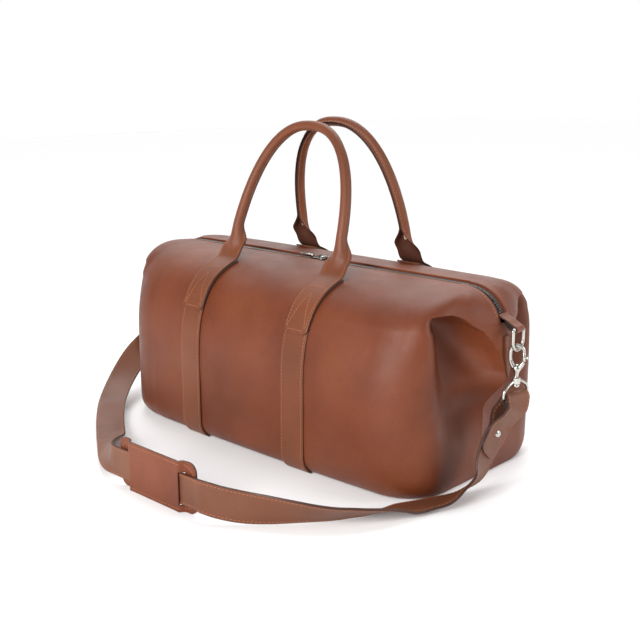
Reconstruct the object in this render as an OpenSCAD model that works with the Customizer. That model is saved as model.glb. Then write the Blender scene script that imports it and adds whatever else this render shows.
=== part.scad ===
// Leather weekender bag: zipped body, two rolled handles, shoulder strap on swivel hooks.
// X is the length, -Y the front, +Z up. The origin is the middle of the base, on the floor.

/* [Body] */
// Width of the body, front to back
body_w = 280; // [240:5:320]
// Height of the body at the zip
body_h = 235; // [200:5:260]
// Length of the body at the base
base_l = 536; // [480:2:560]
// How far each top end leans out past the base end
end_lean = 30; // [10:1:40]
// Depth of the tuck beside each end ridge
tuck_depth = 44; // [0:1:48]
// Thickness of the outer leather
leather_t = 2.2; // [1.6:0.1:2.6]
// Radius along the bottom edge
base_r = 25; // [15:1:35]

/* [Straps and handles] */
// Width of the bands, the handle tabs and the shoulder strap
strap_w = 38; // [30:1:42]
// Thickness of the shoulder strap
strap_t = 3; // [2.4:0.2:3.4]
// Distance between the two bands, centre to centre
band_gap = 187; // [160:1:200]
// Height of the handle arch above its hinge line
handle_h = 178; // [160:1:190]
// Radius of the rolled handle
handle_r = 6; // [5:0.5:7]
// Lean of the front handle towards the back one at rest
front_lean = 17.5; // [8:0.5:18]
// Lean of the back handle towards the front one at rest
back_lean = 11.5; // [8:0.5:16]
// Length of the shoulder pad
pad_l = 136; // [120:2:140]
// Width of the shoulder pad
pad_w = 60; // [54:1:60]

/* [Metal parts] */
// Radius of the D-ring wire
ring_wire = 2; // [1.6:0.1:2.2]
// Radius of the D-ring bow, at the middle of the wire
bow_r = 10.5; // [10:0.5:12]
// Height of the D-ring bar above the floor
bar_z = 192; // [186:1:194]
// Distance of both D-rings from the middle of the bag
ring_x = 311; // [309:0.5:314]

/* [Hidden] */
$fn = 32;

leather = "#87503a";
leather_dark = "#68402f";
metal = "#b5b2aa";
dark_metal = "#4a4640";

hw = body_w / 2;
base_x = base_l / 2;
corner_r = 60;          // plan radius of the body's corners
spine_x = 236;          // half length of the straight ridge along the top
bulge = 5;              // how far the front and back bow out at mid length
side_z = 100;           // height where the front face starts to curve inwards
end_z = 160;            // height where the end faces start to curve inwards
face_n = 3;             // exponent of the curve over the front edge
end_n = 2.4;            // exponent of the curve over the end
zip_half = 8;           // half width of the opening between the leather edges
zip_end_z = 197;        // height where the zip stops on the end
lip_top = 212;          // the lip over the tuck runs from here, lip_y from the middle of the end,
lip_foot = 137;         // down to here, at the middle
lip_y = 66;
fit = 0.15;             // gap between neighbouring sheets
band_x = band_gap / 2;
tab_low = 2.26;         // lower end of a handle tab, in steps along the face
tab_high = 2.81;        // where the tab leaves the face, in steps along the face

// --- Small tools ---------------------------------------------------------------------------

function smooth(a, b, v) = let (s = min(1, max(0, (v - a) / (b - a)))) s * s * (3 - 2 * s);
function unit(v) = v / norm(v);
function bell(v, width) = exp(-pow(v / width, 2));

// Closed solid between two grids of points of the same size, given as lists of rows.
module sheet(outer, inner) {
    rows = len(outer);
    cols = len(outer[0]);
    size = rows * cols;
    points = concat([for (r = outer) for (p = r) p], [for (r = inner) for (p = r) p]);
    skins = [for (i = [0:rows - 2]) for (j = [0:cols - 2])
        let (a = i * cols + j, b = a + 1, c = a + cols, d = c + 1)
        each [[a, d, b], [a, c, d], [size + a, size + b, size + d], [size + a, size + d, size + c]]];
    ends = [for (i = [0:rows - 2])
        let (a = i * cols, b = a + cols, c = a + cols - 1, d = b + cols - 1)
        each [[a, size + b, b], [a, size + a, size + b], [c, d, size + d], [c, size + d, size + c]]];
    sides = [for (j = [0:cols - 2])
        let (a = j, b = j + 1, c = (rows - 1) * cols + j, d = c + 1)
        each [[a, b, size + b], [a, size + b, size + a], [c, size + d, d], [c, size + c, size + d]]];
    polyhedron(points, concat(skins, ends, sides));
}

// Closed solid through rings of points of the same length.
module sweep(rings) {
    sides = len(rings[0]);
    last = (len(rings) - 1) * sides;
    points = [for (r = rings) for (p = r) p];
    walls = [for (i = [0:len(rings) - 2]) for (j = [0:sides - 1])
        let (k = (j + 1) % sides, a = i * sides)
        each [[a + j, a + sides + k, a + k], [a + j, a + sides + j, a + sides + k]]];
    caps = [[for (j = [0:sides - 1]) j], [for (j = [sides - 1:-1:0]) last + j]];
    polyhedron(points, concat(walls, caps));
}

// Point on a smooth curve through the points p, at t steps from the first one.
function along(p, t) =
    let (i = min(len(p) - 2, floor(t)), s = t - i,
         a = p[max(0, i - 1)], b = p[i], c = p[i + 1], d = p[min(len(p) - 1, i + 2)])
    0.5 * (2 * b + (c - a) * s + (2 * a - 5 * b + 4 * c - d) * s * s + (3 * b - a - 3 * c + d) * s * s * s);

// --- Body surface --------------------------------------------------------------------------

// Front half of the plan outline, from the right end round to the left end, moved in by t.
function half_end(t) = [for (i = [0:8]) [base_x - t, -i * (hw - corner_r) / 8]];
function half_corner(t) = [for (i = [1:6]) let (a = 15 * i)
    [base_x - corner_r + (corner_r - t) * cos(a), -(hw - corner_r) - (corner_r - t) * sin(a)]];
function half_face(t) = [for (i = [1:11]) let (x = (base_x - corner_r) * (1 - i / 6))
    [x, -(hw - t) - bulge * (1 - pow(x / (base_x - corner_r), 2))]];
function mirrored(p) = [for (i = [len(p) - 1:-1:0]) [-p[i].x, p[i].y]];
function outline(t) = concat(half_end(t), half_corner(t), half_face(t), mirrored(half_corner(t)),
                             mirrored(half_end(t)));

// Steps up the side: 0 to 1 is the bottom radius, 1 to 2 the side, 2 to 3 the curve over the top.
STEPS = [0, 0.35, 0.7, 1, 1.3, 1.6, 1.85, 2, 2.12, 2.2, 2.26, 2.31, 2.36, 2.43, 2.52, 2.63, 2.75, 2.86,
         2.94, 3];

function step_z(s, t) =
    s < 1 ? t + (base_r - t) * (1 - cos(90 * s)) :
    s < 2 ? base_r + (side_z - base_r) * (s - 1) :
    side_z + (body_h - t - side_z) * pow(sin(90 * (s - 2)), 2 / face_n);
function face_m(s) =
    s < 1 ? 1 - base_r / hw * (1 - sin(90 * s)) :
    s < 2 ? 1 :
    pow(max(0, cos(90 * (s - 2))), 2 / face_n);
function end_m_at(z) =
    z < end_z ? 1 : pow(max(0, 1 - pow((z - end_z) / (body_h - end_z), end_n)), 1 / end_n);
function end_m(s) = s < 1 ? face_m(s) : end_m_at(step_z(s, 0));

// Distance below the lip at (y, z) on an end, or 0 above it.
function lip_z(y) = lip_top - (lip_top - lip_foot) * pow(max(0, lip_y - abs(y)) / lip_y, 1.8);
function lip_out(z) = lip_y * (1 - pow(min(1, max(0, lip_top - z) / (lip_top - lip_foot)), 1 / 1.8));
function under_lip(y, z) =
    let (a = max(0, abs(y) - lip_out(z)), b = max(0, lip_z(y) - z))
    a * b == 0 ? 0 : a * b / norm([a, b]);

// The middle of each end leans out towards the top, and the leather is tucked in under the lip.
// Sheets that lie t inside the leather are tucked a little deeper, to keep clear of its steep walls.
function end_shift(y, z, t) =
    let (d = under_lip(y, z), soft = 6 + 22 * smooth(165, 95, z))
    end_lean * smooth(85, 135, z) * bell(y, 50)
    - (tuck_depth + t) * (1 - exp(-d / soft)) * exp(-d / 40) * smooth(108, 70, abs(y)) * smooth(30, 150, z);

function zip_gap(z, extra) = extra + zip_half * smooth(zip_end_z - 8, zip_end_z + 2, z);

// Point of the front half on plan point p, at step s, moved in by t and back from the middle by gap.
function skin(p, s, t, gap) =
    let (on_end = max(0, abs(p.x) - spine_x) / (base_x - spine_x),
         m = max(0.02, face_m(s) + (end_m(s) - face_m(s)) * on_end),
         z = step_z(s, t),
         x = max(-spine_x, min(spine_x, p.x)),
         y = m * p.y,
         shift = end_shift(y, z, t) * on_end * m * sign(p.x),
         g = zip_gap(z, gap))
    [x + m * (p.x - x) + shift, -(g + abs(y) * (hw - g) / hw), z];

function half_grid(t, gap) = [for (p = outline(t)) [for (s = STEPS) skin(p, s, t, gap)]];

// Point on the front face at length x and step s, raised off the leather by lift.
function on_face(x, s, lift) =
    let (y = (hw + lift) + bulge * (1 - pow(x / (base_x - corner_r), 2)),
         z = step_z(s, -lift),
         g = zip_gap(z, fit))
    [x, -(g + max(0.02, face_m(s)) * y * (hw - g) / hw), z];

module half_shell(out, in, gap) sheet(half_grid(out, gap), half_grid(in, gap));

// --- Leather body --------------------------------------------------------------------------

module front_panel() color(leather) half_shell(0, leather_t, fit);

module back_panel() color(leather) mirror([0, 1, 0]) front_panel();

module base_plan(t) {
    m = face_m(0);
    half = [for (p = outline(t)) let (x = max(-spine_x, min(spine_x, p.x))) [x + m * (p.x - x), m * p.y]];
    polygon(concat(half, [for (i = [len(half) - 2:-1:1]) [half[i].x, -half[i].y]]));
}

module base_panel() color(leather) linear_extrude(leather_t) base_plan(leather_t + 1);

module base_board() color("#3a3532")
    translate([0, 0, leather_t + 0.1]) linear_extrude(2.5) base_plan(leather_t + 6);

module lining_base() color("#4a3b34")
    translate([0, 0, leather_t + 2.8]) linear_extrude(0.8) base_plan(leather_t + 11);

module lining_front() color("#4a3b34") half_shell(leather_t + 6.5, leather_t + 7.5, 2.2);

module lining_back() color("#4a3b34") mirror([0, 1, 0]) lining_front();

// Strip of leather up the front face between two steps, raised by lift.
module face_strip(x, from, to, lift) {
    steps = concat([from], [for (s = STEPS) if (s > from && s < to) s], [to]);
    rows = [for (side = [0.5, 0.17, -0.17, -0.5]) [for (s = steps) [x + side * strap_w, s]]];
    sheet([for (r = rows) [for (p = r) on_face(p.x, p.y, lift + leather_t)]],
          [for (r = rows) [for (p = r) on_face(p.x, p.y, lift)]]);
}

module band(side) color(leather) face_strip(side * band_x, 0.3, tab_high - 0.02, fit);

module tab(side) color(leather) face_strip(side * band_x, tab_low, tab_high, leather_t + 3 * fit);

module to_back() mirror([0, 1, 0]) children();

// Pointed tab over the seam below each D-ring, where the zip ends.
module end_tab(side) {
    count = 12;
    low = lip_foot - 4;
    high = 182;
    heights = [for (i = [0:count]) low + (high - low) * i / count];
    function lens(z) = 0.4 + 7 * pow(sin(125 * (z - low) / (high - low)), 0.8);
    function ridge(z, out) = spine_x + end_m_at(z) * (base_x - spine_x + end_shift(0, z, 0)) + out;
    rows = [1, 0.35, -0.35, -1];
    color(leather)
    sheet([for (k = rows) [for (z = heights) [side * ridge(z, 3), k * side * lens(z), z]]],
          [for (k = rows) [for (z = heights) [side * ridge(z, 1.5), k * side * lens(z), z]]]);
}

// Fold of leather round the bar of a D-ring, its tail stitched to the end.
module ring_chape(side) {
    eye = ring_wire + 0.1;
    color(leather)
    translate([side * ring_x, 0, bar_z])
    mirror([side < 0 ? 1 : 0, 0, 0])
    rotate([0, -65, 0])
    rotate([90, 0, 0])
    linear_extrude(14, center = true)
    difference() {
        union() {
            circle(eye + leather_t);
            translate([eye, 0]) square([leather_t, 22]);
        }
        circle(eye);
    }
}

// --- Zip -----------------------------------------------------------------------------------

// Right half of the zip line, as [x, z] points, lying t below the leather.
function zip_line(t) = concat([[0, body_h - t]], [for (i = [0:9]) let (a = 8.5 * i)
    [spine_x + (base_x + end_lean - t - 4.4 - spine_x) * pow(sin(a), 2 / end_n),
     end_z + (body_h - t - end_z) * pow(cos(a), 2 / end_n)]]);
function zip_run(t) = [for (p = zip_line(t)) if (p.y > zip_end_z + 4) p];
function both_ways(p) = concat([for (i = [len(p) - 1:-1:1]) [-p[i].x, p[i].y]], p);
function reversed(p) = [for (i = [len(p) - 1:-1:0]) p[i]];

module zip_tape(side) {
    top = both_ways(zip_run(leather_t + fit));
    low = both_ways(zip_run(leather_t + fit + 0.9));
    color(leather_dark)
    translate([0, side > 0 ? 12 : -2.8, 0])
    rotate([90, 0, 0])
    linear_extrude(9.2)
    polygon(concat(top, reversed(low)));
}

// Point at distance d along the line p, and the slope there.
function point_at(p, d, i = 0) =
    let (step = p[i + 1] - p[i], l = norm(step))
    d <= l || i == len(p) - 2 ? [p[i] + step * d / l, atan2(step.y, step.x)] : point_at(p, d - l, i + 1);

tooth_pitch = 3;
tooth_pairs = 98;
tooth_z = body_h - leather_t - fit - 1.2;

module zip_teeth() color(dark_metal)
    for (i = [0:tooth_pairs - 1]) for (side = [-1, 1]) mirror([side < 0 ? 1 : 0, 0, 0]) {
        at = point_at(zip_run(leather_t + fit), (i + 0.5) * tooth_pitch);
        translate([at[0].x, i % 2 == 0 ? -0.5 : 0.5, at[0].y])
            rotate([0, -at[1], 0])
            cube([1.6, 4.4, 2], center = true);
    }

slider_l = 11;
slider_z = tooth_z + 2.5;
pull_z = slider_z + 4.2;

// Zip slider: a plate that rides on the teeth, with two rails beside them and a loop for the pull.
module slider(side) color(dark_metal) translate([side * (slider_l / 2 + 0.5), 0, slider_z]) {
    difference() {
        translate([-slider_l / 2, -5, 0]) cube([slider_l, 10, 1.6]);
        translate([side * (slider_l / 2 + 3), 0, 0]) cylinder(r = 5, h = 4, center = true);
    }
    for (y = [-5, 3.8]) translate([-slider_l / 2, y, -1]) cube([slider_l, 1.2, 1.1]);
    difference() {
        translate([-3, -1, 1.5]) cube([6, 2, 4.4]);
        translate([0, 0, pull_z - slider_z]) rotate([90, 0, 0]) cylinder(r = 0.98, h = 4, center = true);
    }
}

// Pull tab, lying flat along the zip from the loop of its slider.
module pull(side) color(metal)
translate([side * (slider_l / 2 + 0.5), 0, pull_z]) mirror([side < 0 ? 1 : 0, 0, 0]) {
    rotate([90, 0, 0]) cylinder(r = 0.9, h = 6, center = true);
    for (y = [-3.7, 1.7]) translate([-1.2, y, -1.2]) cube([9.2, 2, 2.4]);
    translate([7.5, 0, -1.2]) linear_extrude(2.4) difference() {
        hull() {
            translate([0, -3.7]) square([1, 7.4]);
            translate([16, 0]) circle(4.5);
        }
        translate([15, 0]) circle(2);
    }
}

// --- Handles -------------------------------------------------------------------------------

hinge_point = on_face(band_x, tab_high, leather_t + 3 * fit + leather_t);
hinge_y = hinge_point.y;
hinge_z = hinge_point.z + 3.2;
arch_n = 2.35;
arch_count = 40;
arch_foot = 2.5;        // height of the handle's ends above the hinge line

// Middle line of the rolled handle, in its own upright plane, from one foot to the other.
function arch(a) = [band_x * sign(cos(a)) * pow(abs(cos(a)), 2 / arch_n),
                    arch_foot + (handle_h - arch_foot) * pow(abs(sin(a)), 2 / arch_n)];
// Half width and half thickness at height h: flat at the foot, round above.
function roll_wide(h) = handle_r + (strap_w / 2 - handle_r) * (1 - smooth(0, 36, h));
function roll_thick(h) = 2.3 + (handle_r - 2.3) * smooth(0, 22, h);

function roll_ring(a, shrink) =
    let (p = arch(a), q = arch(min(180, a + 0.5)), r = arch(max(0, a - 0.5)),
         h = p.y - arch_foot,
         dir = h < 14 ? [0, cos(a) > 0 ? 1 : -1] : unit(q - r),
         across = [dir.y, -dir.x],
         w = roll_wide(h) - shrink, t = roll_thick(h) - shrink)
    [for (k = [0:11]) let (e = 30 * k)
        [p.x + across.x * w * cos(e), t * sin(e), p.y + across.y * w * cos(e)]];

function arch_angle(i, from) =
    let (s = i / arch_count, u = from + (180 - 2 * from) * s) u - 14 * sin(2 * u) * (1 - from / 90);

module place_handle(side)
    translate([0, -side * hinge_y, hinge_z]) rotate([side < 0 ? -front_lean : back_lean, 0, 0]) children();

module roll(from, shrink) sweep([for (i = [0:arch_count]) roll_ring(arch_angle(i, from), shrink)]);

// Rolled leather cover with the rope core's hole through the round stretch.
module handle(side) color(leather) place_handle(side) difference() {
    roll(0, 0);
    roll(11, 2.4);
}

module handle_core(side) color("#b9a98c") place_handle(side) roll(11, 2.6);

// --- Rings and hooks -----------------------------------------------------------------------

bow_z = bar_z - 14;
loop_wire = 2.2;
loop_r = 7.7;           // round ends of the hook's loop, at the middle of the wire
loop_top = bow_z - bow_r + ring_wire + 0.8 + loop_wire;
loop_h = 12;            // straight sides of the loop
loop_low = loop_top - 2 * loop_r - loop_h;
hook_turn = 30;         // turn of the hook's plane from the length of the bag
strap_turn = 84;        // turn of the strap ring's bar from the length of the bag
gate_r = loop_wire - 0.3;
gate_z = loop_low + loop_r + 0.3 + gate_r;
barrel_z = loop_low - 14;
ring_low = barrel_z - 20;

module rod(from, to, r) {
    v = to - from;
    translate(from) rotate([0, acos(v.z / norm(v)), atan2(v.y, v.x)]) cylinder(r = r, h = norm(v));
}

module d_ring(side) color(metal) translate([side * ring_x, 0, bow_z]) {
    rotate([0, 90, 0]) rotate([0, 0, -90]) rotate_extrude(angle = 180, $fn = 48)
        translate([bow_r, 0]) circle(ring_wire);
    for (y = [-bow_r, bow_r]) translate([0, y, 0]) cylinder(r = ring_wire, h = bar_z - bow_z);
    translate([0, 0, bar_z - bow_z]) rotate([90, 0, 0]) cylinder(r = ring_wire, h = 2 * bow_r, center = true);
    for (y = [-bow_r, bow_r]) translate([0, y, bar_z - bow_z]) sphere(ring_wire);
}

module at_hook(side)
    translate([side * ring_x, 0, 0]) rotate([0, 0, side < 0 ? 180 + hook_turn : hook_turn]) children();

// Snap hook: a loop open on one side, a body, and a swivel post through the strap ring.
module hook(side) color(metal) at_hook(side) {
    for (z = [0, 1]) translate([0, 0, loop_top - loop_r - z * loop_h])
        rotate([90, 0, 0]) rotate([0, 0, z * 180]) rotate_extrude(angle = 180, $fn = 48)
            translate([loop_r, 0]) circle(loop_wire);
    translate([-loop_r, 0, loop_low + loop_r]) cylinder(r = loop_wire, h = loop_h);
    translate([0, 0, barrel_z + 4.2]) cylinder(r1 = 4.6, r2 = 2.4, h = loop_low - barrel_z - 3.6);
    translate([0, 0, barrel_z - 7.4]) cylinder(r = 2.4, h = 12);
    translate([0, 0, barrel_z - 7.4]) cylinder(r = 3.8, h = 3);
}

// Spring gate that closes the loop, with a thumb stud.
module gate(side) color(metal) at_hook(side) translate([loop_r, 0, gate_z]) {
    sphere(gate_r);
    cylinder(r = gate_r, h = loop_h - 0.6 - gate_r);
    translate([1, 0, 3]) rotate([0, 90, 0]) cylinder(r = 1.2, h = 4);
}

// Ring for the strap: a barrel that turns on the hook's post, set in a square frame.
module strap_ring(side) color(metal) translate([side * ring_x, 0, 0]) rotate([0, 0, strap_turn]) {
    half = strap_w / 2 + 3;
    wire = 1.8;
    bar_high = barrel_z - 1;
    difference() {
        union() {
            translate([0, 0, barrel_z - 4]) cylinder(r = 5, h = 8);
            translate([-half, 0, bar_high]) rotate([0, 90, 0]) cylinder(r = wire, h = 2 * half);
        }
        translate([0, 0, barrel_z - 5]) cylinder(r = 2.46, h = 10);
    }
    for (s = [-1, 1]) translate([s * half, 0, ring_low]) cylinder(r = wire, h = bar_high - ring_low);
    for (s = [-1, 1]) for (z = [ring_low, bar_high]) translate([s * half, 0, z]) sphere(wire + 0.2);
    translate([-half, 0, ring_low]) rotate([0, 90, 0]) cylinder(r = wire, h = 2 * half);
}

// --- Shoulder strap ------------------------------------------------------------------------

// Middle of the strap, from its riveted end at the right hook, along the floor, to the left hook.
strap_path = [
    [305, -46, 52], [306.5, -32, 68], [308.5, -23, 80], [314, -13, 91], [317.5, -6, 101],
    [315, -1, 113], [309, 0.5, 116], [304.5, 0, 108], [303, -8, 94], [305, -22, 80],
    [303, -31, 67.5], [301.5, -43, 46], [301, -55, 27], [294, -74, 15], [286, -93, 7.5],
    [276, -114, 5], [268, -135, 5], [262, -156, 8], [254, -184, 12], [243, -204, 14],
    [230, -222, 15], [215, -239, 17], [198, -255, 19], [178, -270, 20], [157, -284, 21],
    [137, -297, 24], [118, -306, 27.5], [104, -307, 28], [70, -307, 28], [34, -307, 28],
    [-4, -307, 28], [-42, -307, 28], [-62, -300, 27], [-88, -282, 23], [-123, -255, 16],
    [-168, -224, 9], [-217, -190, 8], [-260, -155, 15], [-292, -114, 33], [-307, -76, 57],
    [-312, -45, 73], [-314.5, -22, 86], [-316.5, -7, 98], [-315, -1, 111], [-309, 0.5, 116],
    [-304.5, -1, 106], [-306.5, -12, 94], [-311, -24, 86.5], [-308.5, -46, 74], [-305, -60, 66]
];
// Direction across the strap, towards its upper edge on the floor, at the same points.
strap_across = [
    [.05, -.95, .25], [-.05, -.98, .1], [-.1, -.99, .05], [-.1, -.99, 0], [-.1, -.99, 0],
    [-.1, -.99, 0], [-.1, -.99, 0], [-.1, -.99, 0], [-.1, -.99, 0], [-.1, -.99, .05],
    [-.05, -.98, .1], [.05, -.95, .25], [.3, -.85, .35], [.5, -.78, .3], [.6, -.8, .12],
    [.62, -.78, .1], [.63, -.77, .12], [.6, -.73, .3], [.55, -.66, .5], [.52, -.6, .6],
    [.48, -.53, .68], [.42, -.44, .78], [.3, -.32, .88], [.15, -.17, .98], [0, -.03, 1],
    [-.05, .03, 1], [-.03, .05, 1], [0, 0, 1], [0, 0, 1], [0, 0, 1],
    [0, 0, 1], [0, 0, 1], [.2, .25, .9], [.42, .5, .72], [.6, .62, .4],
    [.68, .7, .12], [.7, .7, 0], [.76, .64, -.08], [.78, .6, -.15], [.62, .74, -.2],
    [.4, .88, -.15], [.2, .97, -.05], [.1, .99, 0], [.1, .99, 0], [.1, .99, 0],
    [.1, .99, 0], [.1, .99, 0], [.15, .98, -.05], [.3, .94, -.15], [.34, .92, -.18]
];
strap_steps = 3;

function strap_ring_at(t) =
    let (p = along(strap_path, t), q = along(strap_path, min(len(strap_path) - 1, t + 0.05)),
         r = along(strap_path, max(0, t - 0.05)),
         dir = unit(q - r), raw = along(strap_across, t),
         across = unit(raw - dir * (raw * dir)),
         out = cross(across, dir),
         a = across * strap_w / 2, b = out * strap_t / 2)
    [p + a + b, p + a - b, p - a - b, p - a + b];

module shoulder_strap() color(leather)
    sweep([for (i = [0:(len(strap_path) - 1) * strap_steps]) strap_ring_at(i / strap_steps)]);

// Rivet through both layers of the strap near each hook.
module rivet(at, out) {
    rod(at - out * 2.8, at - out * 1.6, 4);
    rod(at - out * 2, at + out * 6, 1.2);
    rod(at + out * 5.2, at + out * 6.6, 4);
}

module strap_rivets() color(metal) {
    rivet([303.5, -28, 73], unit([.96, -.2, .2]));
    rivet([-310, -39, 77], unit([.9, -.3, .3]));
}

// Shoulder pad: the strap runs behind its middle and in front of both ends, through two slots.
module shoulder_pad() color(leather) {
    middle_l = pad_l - 44;
    pad_x = 37;
    front_y = -307 - strap_t / 2 - 0.4 - leather_t;
    back_y = -307 + strap_t / 2 + 0.4;
    low = 30.5 - pad_w / 2;
    strap_low = 28 - strap_w / 2 - 0.4;
    strap_high = 28 + strap_w / 2 + 0.4;
    translate([pad_x - middle_l / 2, front_y, low]) cube([middle_l, leather_t, pad_w]);
    for (s = [-1, 1])
        translate([pad_x + s * (pad_l / 2 - 11) - 10, back_y, low]) cube([20, leather_t, pad_w]);
    for (rail = [[low, strap_low], [strap_high, low + pad_w]])
        translate([pad_x - pad_l / 2 + 1, front_y, rail[0]])
            cube([pad_l - 2, back_y + leather_t - front_y, rail[1] - rail[0]]);
}

front_panel();
back_panel();
base_panel();
base_board();
lining_front();
lining_back();
lining_base();
band(-1);  // band_front_left
band(1);  // band_front_right
to_back() band(-1);  // band_back_left
to_back() band(1);  // band_back_right
tab(-1);  // tab_front_left
tab(1);  // tab_front_right
to_back() tab(-1);  // tab_back_left
to_back() tab(1);  // tab_back_right
end_tab(-1);  // end_tab_left
end_tab(1);  // end_tab_right
ring_chape(-1);  // ring_chape_left
ring_chape(1);  // ring_chape_right
zip_tape(-1);  // zip_tape_front
zip_tape(1);  // zip_tape_back
zip_teeth();
slider(-1);  // slider_left
slider(1);  // slider_right
pull(-1);  // pull_left
pull(1);  // pull_right
handle(-1);  // handle_front
handle(1);  // handle_back
handle_core(-1);  // handle_core_front
handle_core(1);  // handle_core_back
d_ring(-1);  // d_ring_left
d_ring(1);  // d_ring_right
hook(-1);  // hook_left
hook(1);  // hook_right
gate(-1);  // gate_left
gate(1);  // gate_right
strap_ring(-1);  // strap_ring_left
strap_ring(1);  // strap_ring_right
shoulder_strap();
strap_rivets();
shoulder_pad();
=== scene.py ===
"""Leather weekender bag: the looks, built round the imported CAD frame, in millimetres until a mesh is made."""
from math import cos, exp, pi, radians, sin, sqrt

import bmesh
import bpy
import numpy as np
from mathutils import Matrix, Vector, noise


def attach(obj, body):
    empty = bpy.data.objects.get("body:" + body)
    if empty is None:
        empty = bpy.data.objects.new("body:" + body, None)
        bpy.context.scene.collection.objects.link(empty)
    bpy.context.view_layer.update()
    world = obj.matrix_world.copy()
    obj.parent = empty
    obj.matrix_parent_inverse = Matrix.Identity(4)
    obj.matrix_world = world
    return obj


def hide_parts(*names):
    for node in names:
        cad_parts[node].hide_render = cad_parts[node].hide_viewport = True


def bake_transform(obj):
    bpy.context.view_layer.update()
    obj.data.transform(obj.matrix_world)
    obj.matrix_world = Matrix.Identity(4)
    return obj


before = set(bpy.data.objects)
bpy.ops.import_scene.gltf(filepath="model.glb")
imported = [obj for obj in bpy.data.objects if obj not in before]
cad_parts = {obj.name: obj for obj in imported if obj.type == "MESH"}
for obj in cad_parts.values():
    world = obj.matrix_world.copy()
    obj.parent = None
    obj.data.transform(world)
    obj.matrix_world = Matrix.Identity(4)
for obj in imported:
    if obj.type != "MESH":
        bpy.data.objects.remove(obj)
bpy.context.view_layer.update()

# --- Sizes: the CAD's, but for a deeper tuck and a slacker left corner --------------------------

HALF_W = 140
BODY_H = 235
BASE_X = 268
END_LEAN = 30
TUCK_DEPTH = 56
LEATHER = 2.2
LINING_IN = 6.5         # gap between the leather and the lining
LINING_T = 1
LINING_GAP = 2.2
BASE_R = 25
CORNER_R = 60
LEFT_CORNER_R = 86      # the left end is slacker than the right one
SLACK_Z = 188
SLACK_N = 3.2
SPINE_X = 236
BULGE = 5
SIDE_Z = 100
END_Z = 160
FACE_N = 3
END_N = 2.4
ZIP_HALF = 8
ZIP_END_Z = 197
LIP_TOP = 212
LIP_FOOT = 137
LIP_Y = 66
LIP_POWER = 1.8
LIP_PULL = 6            # how far the leather below the lip is pulled up
PULL_SPAN = 5
FIT = 0.15

STRAP_W = 38
STRAP_T = 3
BAND_X = 93.5
STITCH_IN = 3.4
TAB_LOW = 2.26
TAB_HIGH = 2.81
HANDLE_H = 178
ARCH_N = 2.35
HINGE_Y = -70.13
HINGE_Z = 238.9

RING_X = 311
BAR_Z = 192
BOW_R = 10.5
BOW_Z = BAR_Z - 14
RING_WIRE = 2
RING_BEND = 2.4
FOLD_R = 3.2            # middle of the chape's leather, round the bar
TAB_TOP = 182
LOOP_R = 7.7
LOOP_TOP = 172.5
LOOP_LOW = 145.1
GATE_Z = 155
BARREL_Z = 131.1
RING_LOW = 111.1
HOOK_TURN = radians(30)
STRAP_TURN = radians(84)
ZIP_TOP = BODY_H - LEATHER - FIT
SLIDER_Z = ZIP_TOP + 1.3
PULL_Z = SLIDER_Z + 4.2
SLIDER_X = 6


# --- Small tools ------------------------------------------------------------------------------

def smooth(a, b, v):
    s = np.clip((v - a) / (b - a), 0, 1)
    return s * s * (3 - 2 * s)


def bell(v, width):
    return np.exp(-(v / width) ** 2)


def unit(v):
    v = np.asarray(v, float)
    return v / np.maximum(np.linalg.norm(v, axis=-1, keepdims=True), 1e-9)


def grid(rows, cols, close_cols=False, start=0):
    """Faces of a grid of points, numbered row by row."""
    last = cols if close_cols else cols - 1
    return [(start + i * cols + j, start + i * cols + (j + 1) % cols,
             start + (i + 1) * cols + (j + 1) % cols, start + (i + 1) * cols + j)
            for i in range(rows - 1) for j in range(last)]


def resample(points, spacing):
    """Points at even spacing along a line."""
    points = np.asarray(points, float)
    length = np.concatenate([[0], np.cumsum(np.linalg.norm(np.diff(points, axis=0), axis=1))])
    count = max(2, int(round(length[-1] / spacing)) + 1)
    at = np.linspace(0, length[-1], count)
    return np.stack([np.interp(at, length, points[:, k]) for k in range(points.shape[1])], axis=1)


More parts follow.
